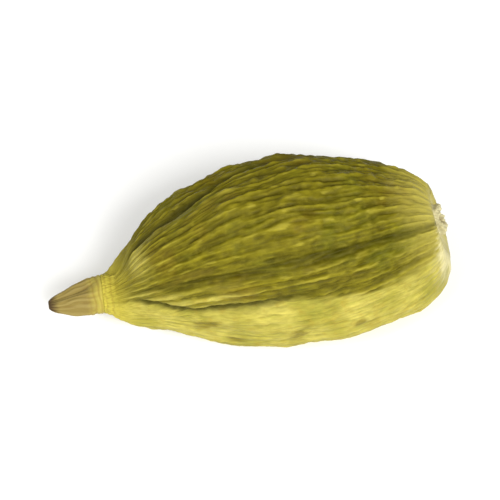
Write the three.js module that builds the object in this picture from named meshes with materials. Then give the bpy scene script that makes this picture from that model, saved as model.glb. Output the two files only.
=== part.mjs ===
// A dried green cardamom pod, the fruit of Elettaria cardamomum, lying on its side.
//
// The husk is a blunt spindle with three rounded lobes, turned a little like a screw. A furrow
// parts each lobe from the next, and fine ribs run over them from the stalk end to the neck. One
// lobe is smoother than the others, and the top one has a groove along its side. The blunt end
// looks a little upwards, with a short ring of the stalk left in its dimple, and the dried remains
// of the flower make a pleated beak at the pointed end. The underside is pressed flat in one spot.
//
// Units are millimetres. X runs along the pod, stalk at +X and beak at -X. Z is up, and the pod
// rests on the plane z = 0. Angles go round the pod from the front, which is -Y, over the top.

import * as THREE from "three";

const { degToRad, smoothstep } = THREE.MathUtils;

// Driving dimensions
const HUSK_LENGTH = 15.8;
const HALF_WIDTH = 4.34;
const STALK_LENGTH = 0.62;
const STALK_RADIUS = 0.76;
const BEAK_LENGTH = 2.5;
const NECK_RADIUS = 0.88;
const JOINT_GAP = 0.02;

// The three lobes: their crowns and furrows turn by the twist, per millimetre of length
const LOBES = 3;
const LOBE_ANGLE = (2 * Math.PI) / LOBES;
const TOP_CROWN = degToRad(75);
const LOBE_RISE = 0.07;
const TWIST = degToRad(1.8);
const UNTWISTED_DISTANCE = 7.5;

// Grooves along the husk, with angles in degrees. A groove has one depth near the stalk and
// another near the beak, and its angle bends on the way between two distances. The first three
// are the furrows between the lobes, the third of them underneath and shallow.
const GROOVES = [
  { angle: 15, bend: 22, bendRange: [11.5, 15], nearStalk: 0.14, nearBeak: 0.42, halfWidth: 6 },
  { angle: 135, bend: -20, bendRange: [8, 12.5], nearStalk: 0.34, nearBeak: 0.5, halfWidth: 7 },
  { angle: 255, bend: 0, bendRange: [8, 12], nearStalk: 0.06, nearBeak: 0.06, halfWidth: 7 },
  { angle: 44, bend: 4, bendRange: [8, 14], nearStalk: 0.32, nearBeak: 0.24, halfWidth: 5 },
];
const DEPTH_CHANGE = [5.5, 9];

// The top of the husk falls to the neck in a round shoulder: a hollow at these distances, which
// starts further from the neck away from its middle angle
const SHOULDER_DEPTH = 0.62;
const SHOULDER_START = [14.2, 15];
const SHOULDER_END = [15.1, HUSK_LENGTH];
const SHOULDER_ANGLE = degToRad(118);
const SHOULDER_EDGE = [degToRad(42), degToRad(75)];
const SHOULDER_CURVE = 0.9;

// Ribs
const RIBS_PER_LOBE = 13;
const RIB_HEIGHT = 0.105;
const RIB_MEANDER = degToRad(1.6);
const SMOOTH_LOBE_SHARE = 0.3;
const SMOOTH_LOBE_EDGE = [degToRad(50), degToRad(60)];

// Low swellings where the seeds press the husk from inside
const SEED_SPACING = 3.1;
const SEED_SWELL = 0.05;

// The dried flower's flattening and pleats, as shares of its radius
const BEAK_FLATTENING = 0.16;
const PLEATS = 5;
const PLEAT_DEPTH = 0.12;

// The stalk's ring: out of round, with knobs round its side, and a rim broken off unevenly
const STALK_OVAL = 0.06;
const STALK_KNOBS = 5;
const KNOB_HEIGHT = 0.05;
const BREAK_SHARE = 0.28;

// The flat spot: what lies this far under the floor is level, with a round edge as high above
const PRESSED_DEPTH = 0.06;

// The relief grows over this share of the way from the dimple, and fades at these distances
const RELIEF_START = [0.05, 0.28];
const RELIEF_END = [14.3, HUSK_LENGTH];

// Facets
const COLUMNS = 2 * LOBES * RIBS_PER_LOBE;
const HUSK_ROWS = 49;
const BEAK_COLUMNS = 30;
const BEAK_ROWS = 12;
const STALK_COLUMNS = 30;

// Places along X
const END_OVERHANG = 0.45;
const TOTAL_LENGTH = END_OVERHANG + HUSK_LENGTH + JOINT_GAP + BEAK_LENGTH;
const HUSK_END_X = TOTAL_LENGTH / 2 - END_OVERHANG;
const STALK_DIMPLE = 0.4;
const BEAK_X = HUSK_END_X - HUSK_LENGTH - JOINT_GAP;

// Stations along the husk: distance from its blunt end, mean radius, sideways shift, height and
// how far the section leans back, in degrees. They start in the dimple, round the blunt end and
// run to the neck.
const HUSK_STATIONS = [
  [STALK_DIMPLE, STALK_RADIUS, -0.05, 4.2, 17],
  [0.16, 1.15, -0.09, 4.18, 17],
  [0.0, 1.6, -0.14, 4.13, 17],
  [0.14, 2.15, -0.2, 4.07, 16],
  [0.8, 2.85, -0.25, 4.0, 14],
  [2.3, 3.6, -0.27, 3.9, 9],
  [4.4, 4.12, -0.22, 3.83, 3],
  [6.9, HALF_WIDTH, -0.15, 3.86, 0],
  [9.2, 4.05, -0.08, 3.69, 0],
  [11.2, 3.52, -0.1, 3.42, 0],
  [12.9, 2.82, -0.2, 3.08, 0],
  [14.2, 2.0, -0.39, 2.76, 0],
  [15.0, 1.41, -0.54, 2.52, 0],
  [15.45, 1.08, -0.63, 2.4, 0],
  [HUSK_LENGTH, NECK_RADIUS, -0.68, 2.34, 0],
];

// Stations along the beak: distance from the neck, radius, sideways shift, height and lean.
const BEAK_STATIONS = [
  [0, NECK_RADIUS, -0.68, 2.34, 0],
  [0.7, 0.74, -0.72, 2.26, 0],
  [1.4, 0.57, -0.75, 2.19, 0],
  [2.0, 0.4, -0.77, 2.14, 0],
  [2.35, 0.27, -0.78, 2.11, 0],
  [BEAK_LENGTH, 0.15, -0.78, 2.1, 0],
];

// Outline of the stalk's ring: radius and height above its foot, from the foot's rim over the
// lip and down into the hollow pith.
const STALK_OUTLINE = [
  [0.7, 0.0],
  [0.78, 0.14],
  [0.7, 0.34],
  [0.69, 0.52],
  [0.58, STALK_LENGTH],
  [0.42, 0.56],
  [0.32, 0.36],
  [0.2, 0.26],
];

// A point on the smooth curve through the stations, for t from 0 to 1: one cubic per span and
// per column of the table.
function alongStations(stations, t) {
  const last = stations.length - 1;
  const span = Math.min(Math.floor(t * last), last - 1);
  const w = t * last - span;
  const before = stations[Math.max(span - 1, 0)];
  const after = stations[Math.min(span + 2, last)];
  return stations[span].map((from, k) => {
    const to = stations[span + 1][k];
    const slopeFrom = (to - before[k]) / 2;
    const slopeTo = (after[k] - from) / 2;
    const cubic = 2 * from - 2 * to + slopeFrom + slopeTo;
    const square = -3 * from + 3 * to - 2 * slopeFrom - slopeTo;
    return ((cubic * w + square) * w + slopeFrom) * w + from;
  });
}

// The smallest turn from one angle to another, between minus and plus half a circle.
function turnBetween(from, to) {
  return Math.atan2(Math.sin(to - from), Math.cos(to - from));
}

// 1 on the smooth lobe at the front, 0 on the others.
function smoothness(angle) {
  const away = Math.abs(turnBetween(TOP_CROWN - LOBE_ANGLE, angle));
  return 1 - smoothstep(away, ...SMOOTH_LOBE_EDGE);
}

// The lobes' crowns and the grooves along them, as a change of radius.
function lobeRelief(angle, radius, distance) {
  const change = smoothstep(distance, ...DEPTH_CHANGE);
  let relief = LOBE_RISE * radius * Math.cos(LOBES * (angle - TOP_CROWN));
  for (const { angle: start, bend, bendRange, nearStalk, nearBeak, halfWidth } of GROOVES) {
    const middle = degToRad(start + bend * smoothstep(distance, ...bendRange));
    const away = turnBetween(middle, angle) / degToRad(halfWidth);
    const depth = nearStalk + (nearBeak - nearStalk) * change;
    relief -= depth * Math.exp(-away * away) * (radius / HALF_WIDTH);
  }
  return relief;
}

// The hollow that gives the top of the husk its round shoulder above the neck.
function shoulderRelief(angle, distance) {
  const away = turnBetween(SHOULDER_ANGLE, angle);
  const across = 1 - smoothstep(Math.abs(away), ...SHOULDER_EDGE);
  const reached = smoothstep(distance + SHOULDER_CURVE * (1 - Math.cos(away)), ...SHOULDER_START);
  return -SHOULDER_DEPTH * across * reached * (1 - smoothstep(distance, ...SHOULDER_END));
}

// One rib after another round the pod: up on a crest, down in a valley, no two of one height.
function ribRelief(column, angle) {
  const wave = column % 2 === 0 ? 1 : -1;
  const strength = 0.8 + 0.3 * Math.sin(2.4 * Math.floor(column / 2));
  const share = 1 - (1 - SMOOTH_LOBE_SHARE) * smoothness(angle);
  return RIB_HEIGHT * wave * strength * share;
}

// Swellings down the crown of each lobe, set off from lobe to lobe.
function seedRelief(angle, distance) {
  const lobe = Math.round((angle - TOP_CROWN) / LOBE_ANGLE);
  const crown = 0.5 + 0.5 * Math.cos(LOBES * (angle - TOP_CROWN));
  return SEED_SWELL * crown * Math.sin((2 * Math.PI * distance) / SEED_SPACING + 2.1 * lobe);
}

// How much of the relief shows from the dimple (t = 0) to the neck (t = 1).
function reliefShare(t, distance) {
  return smoothstep(t, ...RELIEF_START) * (1 - smoothstep(distance, ...RELIEF_END));
}

// Levels what hangs below the floor, with a short round transition above it.
function pressFlat(height) {
  if (height <= -PRESSED_DEPTH) return 0;
  if (height >= PRESSED_DEPTH) return height;
  return (height + PRESSED_DEPTH) ** 2 / (4 * PRESSED_DEPTH);
}

// A point at an angle and radius round a centre, in a section that leans back by some degrees.
function roundCentre(x, y, z, lean, angle, radius) {
  const rise = radius * Math.sin(angle);
  const back = rise * Math.sin(degToRad(lean));
  return new THREE.Vector3(x - back, y - radius * Math.cos(angle), z + rise * Math.cos(degToRad(lean)));
}

// Rings of points, one for each row, and one point in a ring for each column.
function makeRings(rows, columns, pointAt) {
  const count = (n, make) => Array.from({ length: n }, (_, k) => make(k));
  return count(rows, (row) => count(columns, (column) => pointAt(column, row)));
}

// The middle of a ring.
function centreOf(ring) {
  const sum = ring.reduce((total, point) => total.add(point), new THREE.Vector3());
  return sum.divideScalar(ring.length);
}

// A closed skin through rings of points, the first ring at +X, with a fan over each end.
function skinThrough(rings) {
  const columns = rings[0].length;
  const points = [...rings.flat(), centreOf(rings[0]), centreOf(rings.at(-1))];
  const lastRing = (rings.length - 1) * columns;
  const startCentre = points.length - 2;
  const endCentre = points.length - 1;
  const faces = [];
  for (let j = 0; j < columns; j += 1) {
    const next = (j + 1) % columns;
    faces.push(startCentre, next, j);
    faces.push(endCentre, lastRing + j, lastRing + next);
    for (let ring = 0; ring < lastRing; ring += columns) {
      faces.push(ring + j, ring + next, ring + columns + next);
      faces.push(ring + j, ring + columns + next, ring + columns + j);
    }
  }
  const geometry = new THREE.BufferGeometry().setFromPoints(points);
  geometry.setIndex(faces);
  geometry.computeVertexNormals();
  return geometry;
}

function huskPoint(column, row) {
  const t = row / HUSK_ROWS;
  const [distance, radius, shift, height, lean] = alongStations(HUSK_STATIONS, t);
  const round = (2 * Math.PI * column) / COLUMNS;
  const own = round + RIB_MEANDER * Math.sin(0.55 * distance + 2 * round);
  const relief = lobeRelief(own, radius, distance) + ribRelief(column, own) + seedRelief(own, distance);
  const reach = radius + reliefShare(t, distance) * relief + shoulderRelief(own, distance);
  const angle = own + TWIST * (UNTWISTED_DISTANCE - distance);
  const point = roundCentre(HUSK_END_X - distance, shift, height, lean, angle, reach);
  point.z = pressFlat(point.z);
  return point;
}

// The dried flower: a tapering tube, flattened and drawn into pleats as it dried.
function beakPoint(column, row) {
  const t = row / BEAK_ROWS;
  const [distance, radius, shift, height, lean] = alongStations(BEAK_STATIONS, t);
  const angle = (2 * Math.PI * column) / BEAK_COLUMNS;
  const dried = smoothstep(distance, 0, 0.9);
  const flattened = 1 + BEAK_FLATTENING * dried * Math.cos(2 * angle);
  const pleats = 1 + PLEAT_DEPTH * dried * Math.cos(PLEATS * angle + 0.7 * distance);
  const reach = radius * flattened * pleats;
  return roundCentre(BEAK_X - distance, shift, height, lean, angle, reach);
}

// The stalk's ring, broken off unevenly, with the hollow where its pith dried away.
function stalkPoint(column, row) {
  const [radius, rise] = STALK_OUTLINE.at(-1 - row);
  const [distance, , shift, height, lean] = HUSK_STATIONS[0];
  const angle = (2 * Math.PI * column) / STALK_COLUMNS;
  const uneven = STALK_OVAL * Math.sin(2 * angle + 0.6) + KNOB_HEIGHT * Math.sin(STALK_KNOBS * angle);
  const broken = 1 - (BREAK_SHARE * (1 - Math.sin(3 * angle + 0.8))) / 2;
  const along = JOINT_GAP + rise * broken;
  const x = HUSK_END_X - distance + along * Math.cos(degToRad(lean));
  const z = height + along * Math.sin(degToRad(lean));
  return roundCentre(x, shift, z, lean, angle, rise > 0 ? radius * (1 + uneven) : radius);
}

function piece(name, rings, colour, roughness) {
  const material = new THREE.MeshStandardMaterial({ color: colour, roughness, metalness: 0 });
  const mesh = new THREE.Mesh(skinThrough(rings), material);
  mesh.name = name;
  return mesh;
}

const huskRings = makeRings(HUSK_ROWS + 1, COLUMNS, huskPoint);
const beakRings = makeRings(BEAK_ROWS + 1, BEAK_COLUMNS, beakPoint);
const stalkRings = makeRings(STALK_OUTLINE.length, STALK_COLUMNS, stalkPoint);

const pod = new THREE.Group();
pod.name = "green_cardamom_pod";
pod.add(piece("husk", huskRings, 0x8f8a30, 0.62));
pod.add(piece("stalk_stub", stalkRings, 0xbdb070, 0.8));
pod.add(piece("flower_remnant", beakRings, 0xb39c52, 0.75));

export default pod;
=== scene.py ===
# %% [markdown]
# # A dried green cardamom pod
# This lesson dresses one pod, about as long as a fingertip, that lies on a white table. The solid
# model is loaded from model.glb, and it stays as the frame: every piece made here has the same
# shape as the solid that it stands for, with the finer relief and the finish of the dried fruit on
# top.
# There are three pieces: the ribbed husk, the stub of its stalk and the dried flower at the tip.

# %% Load the frame
import math

import bpy
import numpy as np
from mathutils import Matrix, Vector


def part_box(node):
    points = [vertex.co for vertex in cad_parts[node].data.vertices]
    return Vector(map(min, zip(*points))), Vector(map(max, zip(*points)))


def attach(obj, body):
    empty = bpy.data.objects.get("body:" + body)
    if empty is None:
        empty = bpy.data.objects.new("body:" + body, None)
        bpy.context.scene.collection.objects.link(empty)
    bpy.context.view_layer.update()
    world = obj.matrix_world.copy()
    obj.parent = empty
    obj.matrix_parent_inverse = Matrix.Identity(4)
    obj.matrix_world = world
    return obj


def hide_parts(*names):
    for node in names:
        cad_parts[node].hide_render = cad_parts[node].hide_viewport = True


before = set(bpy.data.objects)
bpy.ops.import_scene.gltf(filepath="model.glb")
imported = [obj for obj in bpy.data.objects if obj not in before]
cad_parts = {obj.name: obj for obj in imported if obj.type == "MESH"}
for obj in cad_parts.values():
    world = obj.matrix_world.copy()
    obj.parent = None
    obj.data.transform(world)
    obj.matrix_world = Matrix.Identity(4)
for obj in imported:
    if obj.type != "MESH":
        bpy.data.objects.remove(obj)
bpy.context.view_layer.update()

# %% [markdown]
# ## Units and colours
# Blender works in metres, and a pod is measured in millimetres. All shapes below are worked out
# in millimetres and turned to metres when they become a mesh. Colours are written as sRGB hex
# values, as a colour picker shows them, and one function turns them to the linear values that
# the shader needs.

# %% Units and colours
MM = 0.001
FULL_TURN = 2 * math.pi


def linear(hex_colour):
    """Linear RGBA of an sRGB hex colour: ((c + 0.055) / 1.055) ** 2.4 for all but the darkest."""
    parts = [int(hex_colour[i:i + 2], 16) / 255 for i in (1, 3, 5)]
    return (*[c / 12.92 if c <= 0.04045 else ((c + 0.055) / 1.055) ** 2.4 for c in parts], 1.0)


def smoothstep(value, low, high):
    """0 below low, 1 above high, x * x * (3 - 2 * x) between; swapped ends turn it round."""
    x = np.clip((value - low) / (high - low), 0, 1)
    return x * x * (3 - 2 * x)


print("linear value of #808080:", round(linear("#808080")[0], 3))

# %% [markdown]
# ## Curves through stations
# A grown shape has no corners. So each profile below is a short table of stations, and a curve
# runs smoothly through them. It could be a spline object, but arrays leave every ring at hand.
# Rings that lie evenly along the skin keep the faces alike in size.

# %% Curves through stations
FINE_STEPS = 2001


def along_stations(stations, t):
    """A point on the smooth curve through the rows of a table, for every t from 0 to 1.

    Each span is the cubic that leaves and meets the rows with half of the step between their
    neighbours as its slope. The result has one last axis for the columns of the table.
    """
    table = np.array(stations, float)
    last = len(table) - 1
    span = np.minimum((t * last).astype(int), last - 1)
    w = (t * last - span)[..., None]
    start, end = table[span], table[span + 1]
    slope_in = (end - table[np.maximum(span - 1, 0)]) / 2
    slope_out = (table[np.minimum(span + 2, last)] - start) / 2
    cubic = 2 * start - 2 * end + slope_in + slope_out
    square = -3 * start + 3 * end - 2 * slope_in - slope_out
    return ((cubic * w + square) * w + slope_in) * w + start


def even_steps(stations, count):
    """Values of t from 0 to 1 that cut the profile of a table into pieces of one length, in mm.

    The length is summed over distance and radius along a fine curve, and then read backwards.
    Both results have one row for each ring: t, and the length from the first station.
    """
    fine = np.linspace(0, 1, FINE_STEPS)
    profile = along_stations(stations, fine)[:, :2]
    length = np.concatenate([[0], np.cumsum(np.hypot(*np.diff(profile, axis=0).T))])
    even = np.linspace(0, length[-1], count)
    return np.interp(even, length, fine)[:, None], even[:, None]


print("middle of a straight table:", along_stations([(0, 0), (2, 4)], np.array([0.5]))[0])

# %% [markdown]
# ## Points round a centre
# Each ring lies round a centre of its own, which may shift, rise and lean along the piece.

# %% Points round a centre


def turn_between(start, end):
    """The smallest turn from one angle to another, between minus and plus half a circle."""
    return np.arctan2(np.sin(end - start), np.cos(end - start))


def round_centre(x, y, z, lean, angle, radius):
    """Points at an angle and radius round a centre, in sections that lean back by some degrees.

    The angle starts at the front, which is -Y, and goes over the top.
    """
    rise = radius * np.sin(angle)
    tilt = np.radians(lean)
    return np.stack([x - rise * np.sin(tilt), y - radius * np.cos(angle), z + rise * np.cos(tilt)], -1)


# %% [markdown]
# ## Skin through a grid of points
# Each piece is a closed skin: rings of points from one end to the other, with a point in the
# middle of both ends. The faces are the same pattern for each, so one function makes them all.
# Values that a material needs at each point, such as the height of a rib, are kept on the mesh
# as attributes, and so they stay on the surface whatever the view.

# %% Mesh from rings


def skin_object(name, rings, attributes):
    """A closed mesh object from rings of points in mm, an array of rings x columns x 3.

    Attributes are arrays of rings x columns, or with a last axis of 3 for a vector. The two end
    points take the mean of their ring.
    """
    count, columns = rings.shape[:2]
    grid = np.arange(count * columns).reshape(count, columns)
    around = np.roll(grid, -1, axis=1)
    quads = np.stack([grid[:-1], around[:-1], around[1:], grid[1:]], -1).reshape(-1, 4)
    start, end = count * columns, count * columns + 1
    first_fan = np.stack([np.full(columns, start), around[0], grid[0]], -1)
    last_fan = np.stack([np.full(columns, end), grid[-1], around[-1]], -1)

    def with_ends(values):
        """The values of all points, with the two end points after them."""
        ends = np.stack([values[0].mean(axis=0), values[-1].mean(axis=0)])
        return np.concatenate([values.reshape(count * columns, *values.shape[2:]), ends])

    mesh = bpy.data.meshes.new(name)
    faces = quads.tolist() + first_fan.tolist() + last_fan.tolist()
    mesh.from_pydata((with_ends(rings) * MM).tolist(), [], faces)
    mesh.polygons.foreach_set("use_smooth", np.arange(len(faces)) < len(quads))
    for key, values in attributes.items():
        kind, field = ("FLOAT_VECTOR", "vector") if values.ndim == 3 else ("FLOAT", "value")
        layer = mesh.attributes.new(key, kind, "POINT")
        layer.data.foreach_set(field, with_ends(values).astype(np.float32).ravel())
    mesh.update()
    made = bpy.data.objects.new(name, mesh)
    bpy.context.scene.collection.objects.link(made)
    print(name, len(mesh.vertices), "points,", 2 * len(quads) + 2 * columns, "triangles")
    return made


# %% Piece for a node of the solid model


def stand_for(piece, node):
    """The piece takes the place of a CAD node, rides on the pod and shows how far its box is from it.
    """
    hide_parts(node)
    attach(piece, "root")
    low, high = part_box(node)
    corners = np.array([v.co for v in piece.data.vertices])
    off = np.abs(np.stack([corners.min(axis=0) - low, corners.max(axis=0) - high])).max()
    print(f"{piece.name} differs from the box of {node} by at most {1000 * off:.2f} mm")


# %% [markdown]
# ## Uneven growth
# No two ribs of a dried fruit are alike. The unevenness is filtered white noise: a field of
# random numbers is blurred in its frequencies, more along the fibres than across them, so that
# it joins up round the pod without a seam. The seed of each field is fixed, so the pod is the
# same pod every time.

# %% Seamless noise
HUSK_COLUMNS = 468
HUSK_RINGS = 206
HUSK_GIRTH = 27.0
HUSK_RUN = 17.0
BLUR_REACH = 2.2


def grown_noise(seed, across, along, shape=(HUSK_RINGS, HUSK_COLUMNS), size=(HUSK_RUN, HUSK_GIRTH)):
    """Noise of mean 0 and spread 1, with spots of about the given size in mm.

    The spectrum of white noise is multiplied by exp(-(reach * spot * frequency)^2 / 2) on both
    axes. The size is the length and the girth in mm of the skin that the rings cover.
    """
    white = np.random.default_rng(seed).standard_normal(shape)
    run = np.fft.fftfreq(shape[0], size[0] / shape[0])[:, None]
    girth = np.fft.rfftfreq(shape[1], size[1] / shape[1])[None, :]
    blur = np.exp(-((BLUR_REACH * along * run) ** 2 + (BLUR_REACH * across * girth) ** 2) / 2)
    field = np.fft.irfft2(np.fft.rfft2(white) * blur, s=shape)
    return (field - field.mean()) / field.std()


# %% [markdown]
# ## The husk's form
# The husk is a blunt spindle with three rounded lobes, turned a little like a screw. These are
# the measures of the solid model, so the dressed husk keeps its form: stations along the pod
# with a radius and a centre, the lobes' rise, the grooves between them, and thirteen ribs to a
# lobe. The one lobe that faces the viewer from below is nearly smooth.

# %% Sizes of the pod
HUSK_LENGTH = 15.8
HALF_WIDTH = 4.34
STALK_RADIUS = 0.76
STALK_LENGTH = 0.62
NECK_RADIUS = 0.88
BEAK_LENGTH = 2.5
JOINT_GAP = 0.02
END_OVERHANG = 0.45
STALK_DIMPLE = 0.4
TOTAL_LENGTH = END_OVERHANG + HUSK_LENGTH + JOINT_GAP + BEAK_LENGTH
HUSK_END_X = TOTAL_LENGTH / 2 - END_OVERHANG
BEAK_X = HUSK_END_X - HUSK_LENGTH - JOINT_GAP
print("whole pod, mm:", round(TOTAL_LENGTH, 2))

# %% Measures of the lobes and ribs
LOBES = 3
LOBE_ANGLE = FULL_TURN / LOBES
TOP_CROWN = math.radians(75)
LOBE_RISE = 0.07
TWIST = math.radians(1.8)
UNTWISTED_DISTANCE = 7.5
RIBS = 13 * LOBES
RIB_HEIGHT = 0.056
RIB_MEANDER = math.radians(1.6)
MEANDER_PER_MM = 0.55
MEANDER_PER_TURN = 2
SMOOTH_LOBE_EDGE = (math.radians(50), math.radians(60))
SEED_SPACING = 3.1
SEED_SWELL = 0.05
SEED_STAGGER = 2.1
PRESSED_DEPTH = 0.06
print("ribs round the husk:", RIBS)

# %% Measures of the grooves and the shoulder
# Each groove: angle and its bend in degrees, the distances where the bend starts and ends, depth
# near the stalk and near the beak, and half of the width in degrees.
GROOVES = [
    (15, 22, 11.5, 15.0, 0.14, 0.42, 6),
    (135, -20, 8.0, 12.5, 0.34, 0.5, 7),
    (255, 0, 8.0, 12.0, 0.06, 0.06, 7),
    (44, 4, 8.0, 14.0, 0.32, 0.24, 5),
]
FRONT_FURROW, TOP_FURROW, VALLEY = GROOVES[0], GROOVES[1], GROOVES[3]
DEPTH_CHANGE = (5.5, 9.0)

SHOULDER_DEPTH = 0.62
SHOULDER_START = (14.2, 15.0)
SHOULDER_END = (15.1, HUSK_LENGTH)
SHOULDER_ANGLE = math.radians(118)
SHOULDER_EDGE = (math.radians(42), math.radians(75))
SHOULDER_CURVE = 0.9

RELIEF_START = (0.05, 0.28)
RELIEF_END = (14.3, HUSK_LENGTH)
print("grooves:", len(GROOVES))

# %% Stations of the husk
# Each station: distance from the blunt end, radius, sideways shift, height, lean in degrees.
HUSK_STATIONS = [
    (STALK_DIMPLE, STALK_RADIUS, -0.05, 4.2, 17),
    (0.16, 1.15, -0.09, 4.18, 17),
    (0.0, 1.6, -0.14, 4.13, 17),
    (0.14, 2.15, -0.2, 4.07, 16),
    (0.8, 2.85, -0.25, 4.0, 14),
    (2.3, 3.6, -0.27, 3.9, 9),
    (4.4, 4.12, -0.22, 3.83, 3),
    (6.9, HALF_WIDTH, -0.15, 3.86, 0),
    (9.2, 4.05, -0.08, 3.69, 0),
    (11.2, 3.52, -0.1, 3.42, 0),
    (12.9, 2.82, -0.2, 3.08, 0),
    (14.2, 2.0, -0.39, 2.76, 0),
    (15.0, 1.41, -0.54, 2.52, 0),
    (15.45, 1.08, -0.63, 2.4, 0),
    (HUSK_LENGTH, NECK_RADIUS, -0.68, 2.34, 0),
]
print("stations of the husk:", len(HUSK_STATIONS))

# %% [markdown]
# ## The husk's relief
# As the fruit dries, the soft tissue shrinks between its stiff fibres, so the ribs stand up as
# narrow ridges, wander a little, and break into short wrinkles. On top of the solid model's form
# come ridges of uneven strength, fine fibres, small cross puckers, shallow dents, a crease down
# the middle of each groove that is sharper towards the tip, and rings of small folds at the neck.
# All of it could be sculpted by hand, but formulas keep the ribs parallel and let them meet at
# both ends as they do on the fruit.

# %% Measures of the relief
RIB_STRENGTH = 0.85
RIB_UNEVENNESS = 0.4
FINER_RIB_HEIGHT = 0.028
FIBRE_HEIGHT = 0.024
PUCKER_HEIGHT = 0.024
NECK_FOLD_HEIGHT = 0.028
NECK_FOLD_SPACING = 0.27
NECK_FOLD_WANDER = 1.1
NECK_FOLD_FADE = (0.3, 0.9)
DENT_HEIGHT = 0.06
CREASE_SHARE = 0.4
CREASE_HALF_WIDTH = 1.7
CREASE_WANDER = 1.2
CREASE_RANGE = (3.0, 9.0)
SMOOTH_SHARE = 0.38

# How far noise bends the ribs, how narrow their crests are, and the finer ribs between them.
RIB_WANDER = 0.75
RIB_WOBBLE = 0.3
RIB_SHARPNESS = 1.1
RIB_CREST = 2.2
RIB_VALLEY = 1.2
FINER_PER_RIB = 2.5
FINER_WANDER = 1.6

# %% [markdown]
# ## Lobes and grooves
# A point of the husk is known by its angle round the pod and its distance from the blunt end. A
# lobe is a cosine of the angle, and a groove is a bell curve across the line that it follows,
# which bends on the way to the beak.

# %% Lobes and grooves


def smooth_lobe(own):
    """1 on the smooth lobe at the front, 0 on the others."""
    away = np.abs(turn_between(TOP_CROWN - LOBE_ANGLE, own))
    return 1 - smoothstep(away, *SMOOTH_LOBE_EDGE)


def groove_line(groove, distance):
    """The angle in degrees of the middle of a groove, which bends on the way to the beak."""
    angle, bend, bend_start, bend_end = groove[:4]
    return angle + bend * smoothstep(distance, bend_start, bend_end)


def degrees_from(line, own):
    """How many degrees a point lies from a line along the husk, less than 0 towards the front."""
    return np.degrees(turn_between(np.radians(line), own))


def grooves(own, distance, wander):
    """The depth of the grooves: a wide bell curve each, with a crease in it towards the beak."""
    sharpness = CREASE_SHARE * smoothstep(distance, *CREASE_RANGE)
    total = 0
    for groove in GROOVES:
        near_stalk, near_beak, half_width = groove[4:]
        depth = near_stalk + (near_beak - near_stalk) * smoothstep(distance, *DEPTH_CHANGE)
        away = degrees_from(groove_line(groove, distance), own)
        crease = np.exp(-((away + CREASE_WANDER * wander) / CREASE_HALF_WIDTH) ** 2)
        total = total + depth * (np.exp(-(away / half_width) ** 2) + sharpness * crease)
    return total


def lobe_relief(own, radius, groove_depth):
    """Three crowns, the cosine of three times the angle, less the grooves, all by the radius."""
    crowns = LOBE_RISE * radius * np.cos(LOBES * (own - TOP_CROWN))
    return crowns - groove_depth * radius / HALF_WIDTH


# %% Shoulder and seeds


def past_shoulder(own, distance):
    """The distance, counted further away from the middle of the shoulder, so its edge is round."""
    return distance + SHOULDER_CURVE * (1 - np.cos(turn_between(SHOULDER_ANGLE, own)))


def shoulder_hollow(own, distance):
    """0 to 1: a hollow over the top of the husk, which ends in a round shoulder above the neck."""
    across = 1 - smoothstep(np.abs(turn_between(SHOULDER_ANGLE, own)), *SHOULDER_EDGE)
    reached = smoothstep(past_shoulder(own, distance), *SHOULDER_START)
    return across * reached * (1 - smoothstep(distance, *SHOULDER_END))


def seed_relief(own, distance):
    """Low swellings down the crown of each lobe: a sine along the pod times the lobe's crown."""
    lobe = np.round((own - TOP_CROWN) / LOBE_ANGLE)
    crown = 0.5 + 0.5 * np.cos(LOBES * (own - TOP_CROWN))
    return SEED_SWELL * crown * np.sin(FULL_TURN * distance / SEED_SPACING + SEED_STAGGER * lobe)


# %% [markdown]
# ## Ribs, folds and the flat spot
# Each rib could be a curve of its own, swept along the husk. One wave round the pod makes all
# of them at once, and noise added to its phase lets them wander and crowd, but never cross.

# %% Ribs, folds and flat spot


def rib_waves(around):
    """Main ribs and the finer ones between them, each about -1 to 1.

    A main rib is exp(sharpness * (cos(p) - 1)), a narrow crest over a wide valley. The phase p
    counts the ribs round the pod and is bent by noise, so they wander, crowd and part again.
    """
    phase = RIBS * around + RIB_WANDER * grown_noise(11, across=1.0, along=3.6)
    phase = phase + RIB_WOBBLE * grown_noise(12, across=0.5, along=1.2)
    main = RIB_CREST * np.exp(RIB_SHARPNESS * (np.cos(phase) - 1)) - RIB_VALLEY
    finer = np.cos(FINER_PER_RIB * phase + FINER_WANDER * grown_noise(13, across=0.8, along=2.0))
    return main, finer


def neck_folds(from_joint, wander):
    """Rings of small folds on both sides of the joint: a wave along the pod that dies away."""
    wave = np.cos(FULL_TURN * from_joint / NECK_FOLD_SPACING + NECK_FOLD_WANDER * wander)
    return wave * (1 - smoothstep(np.abs(from_joint), *NECK_FOLD_FADE))


def press_flat(height):
    """0 where the surface hangs below the floor, a parabola near it, the same height above it."""
    bent = (height + PRESSED_DEPTH) ** 2 / (4 * PRESSED_DEPTH)
    return np.where(height <= -PRESSED_DEPTH, 0, np.where(height >= PRESSED_DEPTH, height, bent))


# %% [markdown]
# ## Husk surface
# The grid has twelve columns to a rib, and a ring every eleventh of a millimetre, which is about
# two pixels of a close picture. Each share says how much of one kind of relief shows: none in
# the dimple round the stalk and none at the neck, where the dried flower grew on.

# %% Shares of the relief
RIB_START = (0.02, 0.2)
RIB_TAPER = 0.5
FINE_START = (0.2, 1.5)
FINE_END = (15, HUSK_LENGTH)

turn = np.linspace(0, FULL_TURN, HUSK_COLUMNS, endpoint=False)[None, :]
step, run = even_steps(HUSK_STATIONS, HUSK_RINGS)
distance, radius, shift, height, lean = np.moveaxis(along_stations(HUSK_STATIONS, step), -1, 0)
own = turn + RIB_MEANDER * np.sin(MEANDER_PER_MM * distance + MEANDER_PER_TURN * turn)

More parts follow.
